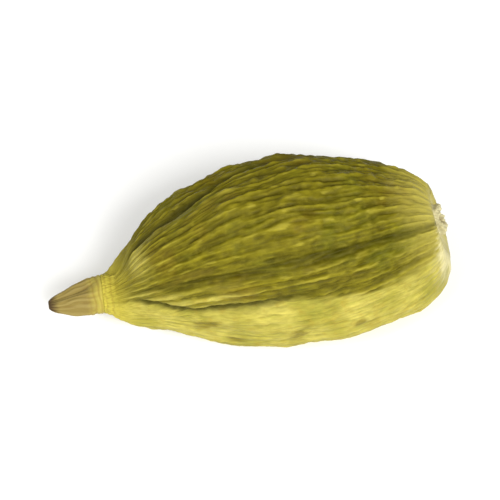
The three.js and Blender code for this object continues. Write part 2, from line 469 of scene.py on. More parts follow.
neck_fade = 1 - smoothstep(distance, *RELIEF_END)
lobe_share = smoothstep(step, *RELIEF_START) * neck_fade
rib_share = smoothstep(step, *RIB_START) * neck_fade * (radius / HALF_WIDTH) ** RIB_TAPER
fine_share = smoothstep(run, *FINE_START) * (1 - smoothstep(distance, *FINE_END))
ribbed = 1 - (1 - SMOOTH_SHARE) * smooth_lobe(own)
print("length of the skin, mm:", round(float(run[-1, 0]), 2))

# %% [markdown]
# ## The fields that make it uneven
# Each kind of relief has a field of its own, with spots of a real size in mm: strong and weak
# stretches of rib, fibres a tenth of a millimetre wide, puckers, and dents as wide as a rib pair.

# %% Uneven fields
STRENGTH_RANGE = (0.1, 1.6)

strength = RIB_STRENGTH + RIB_UNEVENNESS * grown_noise(14, across=0.4, along=0.8)
strength = np.clip(strength, *STRENGTH_RANGE)
main_ribs, finer_ribs = rib_waves(turn)
fibres = grown_noise(15, across=0.11, along=0.8)
puckers = grown_noise(16, across=0.2, along=0.26)
dents = grown_noise(17, across=1.5, along=2.0)
groove_depth = grooves(own, distance, grown_noise(18, across=1.0, along=1.5))
hollow = shoulder_hollow(own, distance)
folds = neck_folds(HUSK_LENGTH - distance, grown_noise(21, across=0.5, along=1.2))
print("deepest groove, mm:", round(float(groove_depth.max()), 2))

# %% [markdown]
# ## Adding it up
# The reach of a point is the radius of its ring with all the relief added, and the ring lies
# round its centre, a little turned against the next. What would hang below the table is pressed
# flat, so the pod has a small spot to rest on.

# %% Husk surface
FINE_ON_SMOOTH = 0.35

lobes = lobe_relief(own, radius, groove_depth) + seed_relief(own, distance)
ribs = (RIB_HEIGHT * strength * main_ribs + FINER_RIB_HEIGHT * finer_ribs) * ribbed
fine = FIBRE_HEIGHT * fibres + PUCKER_HEIGHT * puckers
fine = fine * (FINE_ON_SMOOTH + (1 - FINE_ON_SMOOTH) * ribbed)
reach = radius + lobe_share * lobes + rib_share * ribs - SHOULDER_DEPTH * hollow
reach = reach + fine_share * (fine + DENT_HEIGHT * dents) + NECK_FOLD_HEIGHT * folds
angle = own + TWIST * (UNTWISTED_DISTANCE - distance)
husk_points = round_centre(HUSK_END_X - distance, shift, height, lean, angle, reach)
husk_points[..., 2] = press_flat(husk_points[..., 2])
print("height of the husk, mm:", round(float(husk_points[..., 2].max()), 2))

# %% [markdown]
# ## Where the husk changes colour
# Some colours belong to a place: the smooth lobe and the ridge beside its furrow are pale, the
# blunt end has a pale scar, and a few olive stains lie where the husk stayed damp. Light and shade
# are painted too: the furrows are dark with dust and painted shade, the valley and the foot of the
# shoulder get painted shade, and a crest below the top furrow and the shoulder's rim get painted
# highlights. These places could be painted in the finish alone, but worked out here, on the same
# grid as the form, they follow it exactly.

# %% Measures of the places
# Angles and half widths are in degrees round the husk, distances in mm from the blunt end.
PALE_BOTTOM = -105
PALE_RETREAT = 9
PALE_BLUR = (4, 1.2)
PALE_FRAY = 0.35
RETREAT_RANGE = (3.5, 8.5)
BOTTOM_BLUR = 15
RIDGE_ANGLE = 10.5
RIDGE_HALF_WIDTH = 8.5
RIDGE_START = (8.5, 11.5)
RIDGE_END = (14.4, 15.2)
RIDGE_LEVEL = 0.75
RIDGE_CONTRAST = 0.6
# Painted highlight on a crest below the top furrow; its level and contrast also serve the shoulder's
# rim.
CREST_ANGLE = -10
CREST_HALF_WIDTH = 3.5
CREST_HIGHLIGHT_STRENGTH = 0.8
CREST_START = (10.5, 13.5)
CREST_END = (14.2, 14.8)
CREST_LEVEL = 0.7
CREST_CONTRAST = 0.3
# Painted shade along the valley; dust and painted shade in the grooves and below the shoulder.
VALLEY_ANGLE = -3
VALLEY_HALF_WIDTH = 9
VALLEY_SHADE = 0.42
VALLEY_START = (0.6, 1.6)
DARK_DEPTH = 0.4
DARK_END = (14.8, 15.5)
SLOPE_START = (14.3, 14.6)
SLOPE_SHADE = 0.8
# Painted highlight along the rim of the shoulder.
SHOULDER_RIM = 14.25
SHOULDER_RIM_HALF_WIDTH = 0.38
RIM_ANGLE = 88
RIM_SPREAD = 24
RIM_HIGHLIGHT_STRENGTH = 1.3

# %% Measures of the scar and the stains
# The scar is a pale crescent round the front of the blunt end, measured along the skin in mm.
SCAR_ANGLE = -18
SCAR_HALF_WIDTH = 46
SCAR_RUN = 1.25
SCAR_HALF_LENGTH = 0.65

# Each stain: angle in degrees, distance from the blunt end in mm, half width in degrees,
# half length in mm.
STAINS = [
    (51, 12.0, 5, 1.3),
    (-19, 6.9, 6, 0.6),
    (-17, 4.4, 3, 0.3),
    (-22, 9.9, 4, 0.4),
    (-4, 11.2, 6, 0.9),
    (98, 10.5, 5, 1.2),
    (150, 6.0, 9, 2.2),
    (215, 9.0, 12, 1.6),
    (-80, 5.0, 10, 1.5),
]
STAIN_FRAY = 0.45
print("stains:", len(STAINS))

# %% [markdown]
# ## Places as numbers
# Each place is a number from 0 to 1 at every point, worked out with bell curves and soft steps.
# Noise frays the edges of the pale lobe and of the stains.

# %% Pale places


def bell(value, half_width):
    """A bell curve: 1 at 0, and about a third at the half width."""
    return np.exp(-(value / half_width) ** 2)


def pale_lobe(own, distance, fibres):
    """1 on the smooth lobe, with an edge that is sharp near the beak and frayed near the stalk."""
    near_stalk = 1 - smoothstep(distance, *RETREAT_RANGE)
    blur = PALE_BLUR[1] + (PALE_BLUR[0] - PALE_BLUR[1]) * near_stalk
    top_line = groove_line(FRONT_FURROW, distance) - PALE_RETREAT * near_stalk
    under_top = smoothstep(-degrees_from(top_line, own) + PALE_FRAY * blur * fibres, -blur, blur)
    over_bottom = smoothstep(degrees_from(PALE_BOTTOM, own), -BOTTOM_BLUR, BOTTOM_BLUR)
    return under_top * over_bottom


def beside_groove(groove, offset, half_width, own, distance):
    """A bell curve across the husk, whose middle runs beside a groove at an angle from it."""
    return bell(degrees_from(groove_line(groove, distance) + offset, own), half_width)


def pale_ridge_and_painted_highlights(own, distance, main_ribs):
    """Pale ridge above the front furrow; painted highlight below the top furrow and on the shoulder.

    Each is a bell times its share along the pod, and the ribs that cross it stand out in it.
    """
    front = beside_groove(FRONT_FURROW, RIDGE_ANGLE, RIDGE_HALF_WIDTH, own, distance)
    front = front * smoothstep(distance, *RIDGE_START) * (1 - smoothstep(distance, *RIDGE_END))
    front = front * (RIDGE_LEVEL + RIDGE_CONTRAST * main_ribs)
    # Painted highlight on a crest below the top furrow.
    top = beside_groove(TOP_FURROW, CREST_ANGLE, CREST_HALF_WIDTH, own, distance)
    top = top * smoothstep(distance, *CREST_START) * (1 - smoothstep(distance, *CREST_END))
    # Painted highlight along the rim of the shoulder.
    rim = bell(past_shoulder(own, distance) - SHOULDER_RIM, SHOULDER_RIM_HALF_WIDTH)
    rim = rim * bell(degrees_from(RIM_ANGLE, own), RIM_SPREAD)
    painted_highlights = CREST_HIGHLIGHT_STRENGTH * top + RIM_HIGHLIGHT_STRENGTH * rim
    return np.clip(front, 0, 1) + painted_highlights * (CREST_LEVEL + CREST_CONTRAST * main_ribs)


# %% Dark and stained places


def dust_and_painted_shade_places(own, groove_depth, hollow, distance):
    """Dust and painted shade in the grooves; painted shade on the valley and the shoulder's slope."""
    slope = 4 * hollow * (1 - hollow) * smoothstep(distance, *SLOPE_START)
    valley = beside_groove(VALLEY, VALLEY_ANGLE, VALLEY_HALF_WIDTH, own, distance)
    valley = VALLEY_SHADE * valley * smoothstep(distance, *VALLEY_START)
    both = np.maximum(groove_depth / DARK_DEPTH, valley) + SLOPE_SHADE * slope
    return np.clip(both, 0, 1) * (1 - smoothstep(distance, *DARK_END))


def stained_places(own, distance, unevenness):
    """A sum of bells, one for each stain, frayed by noise."""
    total = 0
    for angle, place, half_width, half_length in STAINS:
        spot = bell(degrees_from(angle, own), half_width) * bell(distance - place, half_length)
        total = total + spot * (1 + STAIN_FRAY * unevenness)
    return np.clip(total, 0, 1)


# %% [markdown]
# ## The places on the grid
# How light a point of a rib is goes with its height and with the fibres and puckers on it, and
# the highest stretches of the main ribs get short streaks of painted highlight.

# %% Places on the grid
MEAN_SHADE = 0.42
RIB_SHADE = 0.22
FINER_SHADE = 0.12
FIBRE_SHADE = 0.1
PUCKER_SHADE = 0.1
# Painted highlight: how noise breaks it up and where it sets in on the rib crests.
HIGHLIGHT_FRAY = 0.6
HIGHLIGHT_RANGE = (0.7, 1.7)
SCAR_STRENGTH = 1.1
SCAR_FRAY = 0.4

# The pale lobe and ridge, with painted highlights on a crest and the shoulder's rim.
pale_and_painted_highlight = np.clip(pale_lobe(own, distance, fibres) + pale_ridge_and_painted_highlights(own, distance, main_ribs), 0, 1)
# Dust and painted shade in the grooves, painted shade on the valley and the shoulder's slope.
dust_and_painted_shade = dust_and_painted_shade_places(own, groove_depth, hollow, distance)
stains = stained_places(own, distance, grown_noise(20, across=0.25, along=0.5))
rib_height = MEAN_SHADE + RIB_SHADE * strength * main_ribs + FINER_SHADE * finer_ribs
rib_height = np.clip(rib_height + FIBRE_SHADE * fibres + PUCKER_SHADE * puckers, 0, 1)
# Painted highlight in short streaks where the main ribs stand highest.
painted_crest_highlights = strength * main_ribs + HIGHLIGHT_FRAY * grown_noise(19, across=0.13, along=0.35)
painted_crest_highlights = smoothstep(painted_crest_highlights, *HIGHLIGHT_RANGE)
scar = bell(degrees_from(SCAR_ANGLE, own), SCAR_HALF_WIDTH) * bell(run - SCAR_RUN, SCAR_HALF_LENGTH)
scar = np.clip(scar * (SCAR_STRENGTH + SCAR_FRAY * puckers), 0, 1)
print("pale share of the husk:", round(float(pale_and_painted_highlight.mean()), 2))

# %% [markdown]
# ## Husk mesh
# The points and the places become one mesh. Its last attribute is a place on a plain cylinder
# as long as the skin, where fibres drawn by the finish run straight and without a seam. On the
# pod they then follow the ribs and meet at both ends.

# %% Husk mesh
unrolled = np.stack([
    HUSK_GIRTH / FULL_TURN * np.cos(turn) + 0 * run,
    HUSK_GIRTH / FULL_TURN * np.sin(turn) + 0 * run,
    run + 0 * turn,
], -1)
husk = skin_object("dried_husk", husk_points, {
    "rib_height": rib_height,
    "painted_crest_highlights": painted_crest_highlights,
    "dust_and_painted_shade": dust_and_painted_shade,
    "pale_and_painted_highlight": pale_and_painted_highlight,
    "stains": stains,
    "scar": scar,
    "folds": folds,
    "from_stalk": run + 0 * turn,
    "from_neck": run[-1] - run + 0 * turn,
    "unrolled": unrolled * MM,
})
stand_for(husk, "husk")

# %% [markdown]
# ## One function for shader nodes
# A material here is a list of nodes, each made by the same small function: it sets the node's
# properties, and fills or links its inputs. A socket that is given another node's output is
# linked, and any other value is set on the socket itself.

# %% Shader node helper
MIX_FACTOR, MIX_A, MIX_B, MIX_OUT = 0, 6, 7, 2


def add_node(tree, kind, inputs=None, **settings):
    """Adds one node of a kind, with its settings, and fills or links its inputs."""
    made = tree.nodes.new(kind)
    for key, value in settings.items():
        setattr(made, key, value)
    for key, value in (inputs or {}).items():
        if isinstance(value, bpy.types.NodeSocket):
            tree.links.new(value, made.inputs[key])
        else:
            made.inputs[key].default_value = value
    return made


def new_material(name):
    """An empty material with its node tree."""
    material = bpy.data.materials.new(name)
    material.use_nodes = True
    material.node_tree.nodes.clear()
    return material, material.node_tree


# %% [markdown]
# ## Colours in layers
# The finish of each piece is painted as nature grew it, one colour over another. A layer shows
# where its pattern passes from one value to another, so a list of layers reads like a recipe.

# %% Layer helper


def lay_colours(tree, ground, layers):
    """Colours over a ground, one after another.

    Each layer: its pattern, the value where it starts, the value where it is full, how much of
    it covers what lies under it, and its colour.
    """
    colour = ground
    for pattern, start, full, cover, hex_colour in layers:
        share = add_node(tree, "ShaderNodeMapRange", {
            "Value": pattern, "From Min": start, "From Max": full, "To Max": cover,
        }).outputs["Result"]
        colour = add_node(tree, "ShaderNodeMix", {
            MIX_FACTOR: share, MIX_A: colour, MIX_B: linear(hex_colour),
        }, data_type="RGBA").outputs[MIX_OUT]
    return colour


# %% [markdown]
# ## Finish of the husk
# The husk is sun-dried plant fibre: dull, with a faint waxy gleam. What gives it its look is colour
# at three scales. Green stays in the valleys, where the tissue is thick, the crests bleach to olive,
# and short streaks of painted highlight lie on them. Broad patches turn brown or green. Fine fibres,
# about a seventh of a millimetre wide, run along the ribs. The smooth lobe has bleached to pale
# straw with a few olive and brown marks. Roughness is that of dry leaf, about 0.5 to 0.7.

# %% Husk colours
VALLEY_GREEN = "#4e4704"
CREST_OLIVE = "#786f10"
# The yellow of the painted highlights on the rib crests, also used for the mottle.
HIGHLIGHT_AND_MOTTLE_YELLOW = "#8e8428"
PATCH_BROWN = "#6b5410"
PATCH_GREEN = "#5b6110"
# Dust and painted shade in the grooves, painted shade on the valley and the shoulder's slope.
DUST_AND_SHADE_DARK = "#353204"
PALE_STRAW = "#948b36"
PALE_LIGHT = "#ada24b"
PALE_OCHRE = "#95802c"
PALE_GREEN = "#7c7a29"
END_STRAW = "#b6a94d"
NECK_OCHRE = "#b3a63e"
FOLD_BROWN = "#7d6424"
SCAR_WHITE = "#cdc492"
STAIN_BROWN = "#5e4812"
STAIN_OLIVE = "#5f5312"

# %% [markdown]
# ## Patterns of the husk
# Three of the noise patterns fill space, so they show no seam on the skin. The fibres are laid
# on the plain cylinder and stretched along it, so they run with the ribs.

# %% Husk patterns
# Sizes in mm: the width of a fibre, and of the spots of three other patterns.
FIBRE_WIDTH = 0.14
FIBRE_SQUASH = 0.2
PATCH_SIZE = 2.6
MOTTLE_SIZE = 0.5
MARK_SIZE = 1.0

husk_finish, tree = new_material("sun_dried_husk_fibre")
place = add_node(tree, "ShaderNodeTexCoord").outputs["Object"]
fibre_place = add_node(tree, "ShaderNodeAttribute", attribute_name="unrolled").outputs["Vector"]
grown = {key: add_node(tree, "ShaderNodeAttribute", attribute_name=key).outputs["Fac"]
         for key in ("rib_height", "painted_crest_highlights", "dust_and_painted_shade", "pale_and_painted_highlight", "stains", "scar", "folds",
                     "from_stalk", "from_neck")}

# Fibres are five times as long as they are wide.
long_fibre = add_node(tree, "ShaderNodeMapping", {
    "Vector": fibre_place, "Scale": (1, 1, FIBRE_SQUASH),
})
fibre = add_node(tree, "ShaderNodeTexNoise", {
    "Vector": long_fibre.outputs["Vector"], "Scale": 1 / (FIBRE_WIDTH * MM),
    "Detail": 4, "Roughness": 0.6,
}).outputs["Fac"]
patch = add_node(tree, "ShaderNodeTexNoise", {
    "Vector": place, "Scale": 1 / (PATCH_SIZE * MM), "Detail": 3, "Roughness": 0.55,
}).outputs["Fac"]
mottle = add_node(tree, "ShaderNodeTexNoise", {
    "Vector": place, "Scale": 1 / (MOTTLE_SIZE * MM), "Detail": 5, "Roughness": 0.65,
}).outputs["Fac"]
mark = add_node(tree, "ShaderNodeTexNoise", {
    "Vector": place, "Scale": 1 / (MARK_SIZE * MM), "Detail": 4, "Roughness": 0.7, "Distortion": 0.4,
}).outputs["Fac"]
print("patterns of", husk_finish.name + ":", len(tree.nodes), "nodes")

# %% [markdown]
# ## Painting the husk
# The yellow of both ends reaches into the ribs in points, as the fibres carry it. The green and
# the straw parts are painted one after the other, and what lies on both comes last. Each layer
# names its pattern, the values where it starts and is full, its cover and its colour.

# %% Painting the husk
POINT_LENGTHS = {"from_neck": 2.0, "from_stalk": 3.0}

ends = {}
for key, point_length in POINT_LENGTHS.items():
    ends[key] = add_node(tree, "ShaderNodeMath", {
        0: fibre, 1: point_length, 2: grown[key],
    }, operation="MULTIPLY_ADD").outputs["Value"]

green_husk = lay_colours(tree, linear(VALLEY_GREEN), [
    (grown["rib_height"], 0.05, 0.9, 1.0, CREST_OLIVE),
    (patch, 0.55, 0.75, 0.5, PATCH_BROWN),
    (patch, 0.46, 0.3, 0.35, PATCH_GREEN),
    # Painted highlight in short streaks on the rib crests.
    (grown["painted_crest_highlights"], 0.0, 1.0, 0.7, HIGHLIGHT_AND_MOTTLE_YELLOW),
    (mottle, 0.5, 0.75, 0.3, HIGHLIGHT_AND_MOTTLE_YELLOW),
    (ends["from_stalk"], 5.6, 2.8, 0.75, END_STRAW),
    # Dust and painted shade in the grooves; painted shade on the valley and the shoulder's slope.
    (grown["dust_and_painted_shade"], 0.18, 1.0, 0.8, DUST_AND_SHADE_DARK),
])
straw_husk = lay_colours(tree, linear(PALE_STRAW), [
    (patch, 0.42, 0.6, 0.9, PALE_LIGHT),
    (patch, 0.45, 0.33, 0.5, PALE_GREEN),
    (grown["rib_height"], 0.42, 0.1, 0.4, PALE_GREEN),
    (mottle, 0.5, 0.72, 0.6, PALE_OCHRE),
    (ends["from_stalk"], 4.2, 2.6, 0.5, SCAR_WHITE),
    # Dust and painted shade in the grooves; painted shade on the valley and the shoulder's slope.
    (grown["dust_and_painted_shade"], 0.45, 1.0, 0.85, DUST_AND_SHADE_DARK),
])
# Pale where the lobe bleached, with painted highlights on a crest and the shoulder's rim.
both_husks = add_node(tree, "ShaderNodeMix", {
    MIX_FACTOR: grown["pale_and_painted_highlight"], MIX_A: green_husk, MIX_B: straw_husk,
}, data_type="RGBA").outputs[MIX_OUT]
whole_husk = lay_colours(tree, both_husks, [
    (grown["stains"], 0.12, 0.8, 0.65, STAIN_OLIVE),
    (ends["from_neck"], 3.1, 1.5, 0.85, NECK_OCHRE),
    (grown["folds"], 0.0, -0.9, 0.4, FOLD_BROWN),
    (grown["scar"], 0.2, 0.9, 0.8, SCAR_WHITE),
    (grown["from_stalk"], 0.75, 0.35, 0.6, SCAR_WHITE),
    (mark, 0.7, 0.78, 0.6, STAIN_BROWN),
])
print("layers and patterns:", len(tree.nodes), "nodes")

# %% [markdown]
# ## Surface of the husk
# Each fibre is a little lighter or darker than the next. The mesh ends at ridges a tenth of a
# millimetre wide, so the finest fibres and grains are bump, which bends the light as if they
# stood up by a few hundredths of a millimetre.

# %% Surface of the husk
FIBRE_LIGHTNESS = (0.76, 1.22)
HUSK_ROUGHNESS = (0.48, 0.68)
HUSK_BUMP = 0.03

fibre_shade = add_node(tree, "ShaderNodeMapRange", {
    "Value": fibre, "From Min": 0.3, "From Max": 0.7,
    "To Min": FIBRE_LIGHTNESS[0], "To Max": FIBRE_LIGHTNESS[1],
}).outputs["Result"]
husk_colour = add_node(tree, "ShaderNodeVectorMath", {
    0: whole_husk, "Scale": fibre_shade,
}, operation="SCALE").outputs["Vector"]

waxiness = add_node(tree, "ShaderNodeMapRange", {
    "Value": mottle, "From Min": 0.3, "From Max": 0.7,
    "To Min": HUSK_ROUGHNESS[0], "To Max": HUSK_ROUGHNESS[1],
}).outputs["Result"]
relief = add_node(tree, "ShaderNodeMath", {0: fibre, 1: mottle}, operation="ADD").outputs["Value"]
bump = add_node(tree, "ShaderNodeBump", {
    "Strength": 0.8, "Distance": HUSK_BUMP * MM, "Height": relief,
})
surface = add_node(tree, "ShaderNodeBsdfPrincipled", {
    "Base Color": husk_colour, "Roughness": waxiness, "IOR": 1.45, "Specular IOR Level": 0.12,
    "Normal": bump.outputs["Normal"],
})
add_node(tree, "ShaderNodeOutputMaterial", {"Surface": surface.outputs["BSDF"]})
husk.data.materials.append(husk_finish)
print(husk_finish.name, "has", len(tree.nodes), "nodes")

# %% [markdown]
# ## The dried flower
# At the pointed end hangs what is left of the flower: a papery tube that flattened as it dried,
# drawn into pleats and broken off to a ragged, dark mouth. It is a tapering tube with five deep
# pleats and many fine ones. The folds of the neck run on over its foot, and its last rings turn
# inwards to make the mouth.

# %% Measures of the beak
BEAK_COLUMNS = 144
BEAK_RINGS = 90
BEAK_GIRTH = 3.8
BEAK_FLATTENING = 0.16
PLEATS = 5
PLEAT_DEPTH = 0.12
FINE_PLEATS = 17
FINE_PLEAT_DEPTH = 0.045
CRUMPLE_DEPTH = 0.03
MOUTH_DEPTH = 0.3
MOUTH_RINGS = 11
PLEAT_TURN = 0.7
FINE_PLEAT_WANDER = 1.5
DRIED_RANGE = (0, 0.9)
CREASED_RANGE = (0.1, 0.8)
BEAK_FOLD_SHARE = 0.7
BEAK_FOLD_START = (0.05, 0.2)
BEAK_LIP = 0.02

# Each station: distance from the neck, radius, sideways shift, height, lean in degrees.
# The first lies inside the husk and the third is a lip over its edge, so that no gap shows where
# the flower grew on.
BEAK_STATIONS = [
    (-0.14, 0.8, -0.67, 2.35, 0),
    (-0.02, NECK_RADIUS - BEAK_LIP, -0.68, 2.34, 0),
    (0.08, NECK_RADIUS + BEAK_LIP, -0.68, 2.33, 0),
    (0.3, 0.84, -0.69, 2.3, 0),
    (0.7, 0.74, -0.72, 2.26, 0),
    (1.4, 0.57, -0.75, 2.19, 0),
    (2.0, 0.4, -0.77, 2.14, 0),
    (2.35, 0.27, -0.78, 2.11, 0),
    (BEAK_LENGTH, 0.15, -0.78, 2.1, 0),
]
MOUTH_STATIONS = [
    (BEAK_LENGTH, 0.15, -0.78, 2.1, 0),
    (BEAK_LENGTH - 0.04, 0.11, -0.78, 2.1, 0),
    (BEAK_LENGTH - MOUTH_DEPTH, 0.05, -0.78, 2.1, 0),
]

# %% Rings of the beak
beak_turn = np.linspace(0, FULL_TURN, BEAK_COLUMNS, endpoint=False)[None, :]
outer = along_stations(BEAK_STATIONS, even_steps(BEAK_STATIONS, BEAK_RINGS)[0])
inner = along_stations(MOUTH_STATIONS, np.linspace(0, 1, MOUTH_RINGS + 1)[1:, None])
beak_rows = np.moveaxis(np.concatenate([outer, inner]), -1, 0)
beak_distance, beak_radius, beak_shift, beak_height, beak_lean = beak_rows
print("rings of the beak:", len(beak_distance))

# %% [markdown]
# ## The beak's pleats
# The tube flattens and its deep pleats set in over the first millimetre, as factors of the
# radius. The fine pleats are the bent cosine |cos(p / 2)|, rounded ridges with sharp valleys.

# %% Beak surface


def petal_noise(seed, across, along):
    """Noise over the beak, with spots of the given size in mm."""
    return grown_noise(seed, across, along, (BEAK_RINGS + MOUTH_RINGS, BEAK_COLUMNS),
                       (BEAK_LENGTH + MOUTH_DEPTH, BEAK_GIRTH))


dried = smoothstep(beak_distance, *DRIED_RANGE)
flattened = 1 + BEAK_FLATTENING * dried * np.cos(2 * beak_turn)
pleats = 1 + PLEAT_DEPTH * dried * np.cos(PLEATS * beak_turn + PLEAT_TURN * beak_distance)
fine_wander = FINE_PLEAT_WANDER * petal_noise(31, across=0.4, along=1.0)
fine_phase = FINE_PLEATS * beak_turn + fine_wander
fine_pleats = FINE_PLEAT_DEPTH * (2 * np.abs(np.cos(fine_phase / 2)) - 1)
crumple = CRUMPLE_DEPTH * petal_noise(32, across=0.3, along=0.5)
beak_folds = neck_folds(beak_distance, petal_noise(33, across=0.5, along=0.6))
creased = 1 + smoothstep(beak_distance, *CREASED_RANGE) * (fine_pleats + crumple)
fold_height = BEAK_FOLD_SHARE * NECK_FOLD_HEIGHT * beak_folds
beak_reach = beak_radius * flattened * pleats * creased
beak_reach = beak_reach + fold_height * smoothstep(beak_distance, *BEAK_FOLD_START)
beak_points = round_centre(
    BEAK_X - beak_distance, beak_shift, beak_height, beak_lean, beak_turn, beak_reach)

# %% Beak mesh
beak_place = np.stack([
    BEAK_GIRTH / FULL_TURN * np.cos(beak_turn) + 0 * beak_distance,
    BEAK_GIRTH / FULL_TURN * np.sin(beak_turn) + 0 * beak_distance,
    beak_distance + 0 * beak_turn,
], -1)
beak = skin_object("papery_flower_beak", beak_points, {
    "pleat": 0.5 + 0.5 * np.cos(fine_phase) + 0 * beak_distance,
    "along": beak_distance / BEAK_LENGTH + 0 * beak_turn,
    "folds": beak_folds,
    "unrolled": beak_place * MM,
})
stand_for(beak, "flower_remnant")

# %% [markdown]
# ## Finish of the dried flower
# Dried petals are like thin paper: matte, tan, with darker veins along the pleats, and brown
# where the edge broke and withered. Roughness is that of paper, about 0.75.

# %% Beak colours and sizes
PAPER_TAN = "#7e6d34"
PAPER_LIGHT = "#8f7f48"
VEIN_BROWN = "#6f5824"
WITHERED = "#3d2b15"

# Sizes in mm: the width of a vein, which is about seven times as long, and the bump's height.
VEIN_WIDTH = 0.1
VEIN_SQUASH = 0.15
RAGGED_SHARE = 0.25
PETAL_BUMP = 0.02

# %% Beak material
beak_finish, tree = new_material("papery_dried_petal")
petal_place = add_node(tree, "ShaderNodeAttribute", attribute_name="unrolled").outputs["Vector"]
pleat = add_node(tree, "ShaderNodeAttribute", attribute_name="pleat").outputs["Fac"]
far = add_node(tree, "ShaderNodeAttribute", attribute_name="along").outputs["Fac"]
fold = add_node(tree, "ShaderNodeAttribute", attribute_name="folds").outputs["Fac"]
long_vein = add_node(tree, "ShaderNodeMapping", {
    "Vector": petal_place, "Scale": (1, 1, VEIN_SQUASH),
})
vein = add_node(tree, "ShaderNodeTexNoise", {
    "Vector": long_vein.outputs["Vector"], "Scale": 1 / (VEIN_WIDTH * MM),
    "Detail": 3, "Roughness": 0.6,
}).outputs["Fac"]
ragged = add_node(tree, "ShaderNodeMath", {
    0: vein, 1: RAGGED_SHARE,
}, operation="MULTIPLY").outputs["Value"]
tip = add_node(tree, "ShaderNodeMath", {0: far, 1: ragged}, operation="ADD").outputs["Value"]
petal_colour = lay_colours(tree, linear(PAPER_TAN), [
    (pleat, 0.3, 1.0, 0.6, PAPER_LIGHT),
    (vein, 0.5, 0.72, 0.45, VEIN_BROWN),
    (tip, 0.42, 0.12, 0.7, NECK_OCHRE),
    (fold, 0.0, -0.9, 0.4, FOLD_BROWN),
    (tip, 0.93, 1.08, 0.95, WITHERED),
])
petal_bump = add_node(tree, "ShaderNodeBump", {
    "Strength": 0.7, "Distance": PETAL_BUMP * MM, "Height": vein,
})
petal = add_node(tree, "ShaderNodeBsdfPrincipled", {
    "Base Color": petal_colour, "Roughness": 0.75, "IOR": 1.45, "Specular IOR Level": 0.3,
    "Normal": petal_bump.outputs["Normal"],
})
add_node(tree, "ShaderNodeOutputMaterial", {"Surface": petal.outputs["BSDF"]})
beak.data.materials.append(beak_finish)
print(beak_finish.name, "has", len(tree.nodes), "nodes")

# %% [markdown]
# ## The stub of the stalk
# In the dimple at the blunt end sits a short ring of stalk, broken off unevenly, with a hollow
# where its soft pith dried away. Its outline is turned round its own axis, which looks a little
# upwards, and fine fibres run down its side and stand up along the broken rim.

# %% Measures of the stalk
STALK_COLUMNS = 144
STALK_RINGS = 64
STALK_OVAL = 0.06
OVAL_PHASE = 0.6
STALK_KNOBS = 5
KNOB_HEIGHT = 0.05
BREAK_SHARE = 0.28
BREAK_WAVES = 3
BREAK_PHASE = 0.8
STALK_FIBRES = 31
STALK_FIBRE_WANDER = 1.4
RIM_RANGE = (0.3, 0.55)
RIM_FIBRE = 0.01
RIM_SPLINTER = 0.03
RIM_LUMP = 0.04
FOOT_RANGE = (0.0, 0.12)
SIDE_FIBRE = 0.012
SIDE_LUMP = 0.05
# Where the brown inside the hollow starts and where it is full, from the stalk's axis in mm.
HOLLOW_RANGE = (0.5, 0.25)
# Length and girth, in mm, that the noise on the stub is worked out for.
STALK_SIZE = (1.7, 4.4)

# Each point of the outline: distance from the stalk's axis and height over the husk, from the
# bottom of the hollow over the broken rim to the foot.
STALK_OUTLINE = [
    (0.2, 0.26),
    (0.32, 0.36),
    (0.42, 0.56),
    (0.58, STALK_LENGTH),
    (0.69, 0.52),
    (0.7, 0.34),
    (0.78, 0.14),
    (0.7, 0.0),
]

# %% [markdown]
# ## The stub's broken form
# The outline turned round its axis is a plain ring. The break lowers it in three places,
# splinters and lumps make its rim ragged, and an oval, five knobs, lumps and fibres change its
# radius above the foot.

# %% Stalk surface
stalk_turn = np.linspace(0, FULL_TURN, STALK_COLUMNS, endpoint=False)[None, :]
stalk_outline = along_stations(STALK_OUTLINE, np.linspace(0, 1, STALK_RINGS)[:, None])
stalk_radius, rise = np.moveaxis(stalk_outline, -1, 0)
stalk_shape = (STALK_RINGS, STALK_COLUMNS)
splinters = grown_noise(41, 0.15, 0.2, stalk_shape, STALK_SIZE)
lumps = grown_noise(42, 0.45, 0.35, stalk_shape, STALK_SIZE)
stalk_fibre = np.cos(STALK_FIBRES * stalk_turn + STALK_FIBRE_WANDER * splinters)
broken = 1 - BREAK_SHARE * (1 - np.sin(BREAK_WAVES * stalk_turn + BREAK_PHASE)) / 2
ragged = RIM_FIBRE * stalk_fibre + RIM_SPLINTER * splinters + RIM_LUMP * lumps
stem_along = JOINT_GAP + rise * broken + ragged * smoothstep(rise, *RIM_RANGE)
uneven = STALK_OVAL * np.sin(2 * stalk_turn + OVAL_PHASE)
uneven = uneven + KNOB_HEIGHT * np.sin(STALK_KNOBS * stalk_turn)
uneven = uneven + SIDE_FIBRE * stalk_fibre + SIDE_LUMP * lumps
rough = smoothstep(rise, *FOOT_RANGE) * uneven

# %% Stalk mesh
start_shift, start_height, start_lean = HUSK_STATIONS[0][2:]
tilt = math.radians(start_lean)
stalk_points = round_centre(
    HUSK_END_X - STALK_DIMPLE + stem_along * math.cos(tilt), start_shift,
    start_height + stem_along * math.sin(tilt), start_lean, stalk_turn, stalk_radius * (1 + rough))
stalk = skin_object("broken_stalk_stub", stalk_points, {
    "fibre": 0.5 + 0.5 * stalk_fibre + 0 * rise,
    "hollow": smoothstep(stalk_radius, *HOLLOW_RANGE) + 0 * stalk_turn,
})
stand_for(stalk, "stalk_stub")

# %% [markdown]
# ## Finish of the stalk
# Broken dry stalk is pale and matte, straw-coloured on its fibres, greyer between them and brown
# in the hollow. Roughness is that of raw wood, about 0.8.

# %% Stalk material
STALK_STRAW = "#d6cc9a"
STALK_GREY = "#b3ab82"
HOLLOW_BROWN = "#6b5426"
GRIT_SIZE = 0.12
STALK_BUMP = 0.02

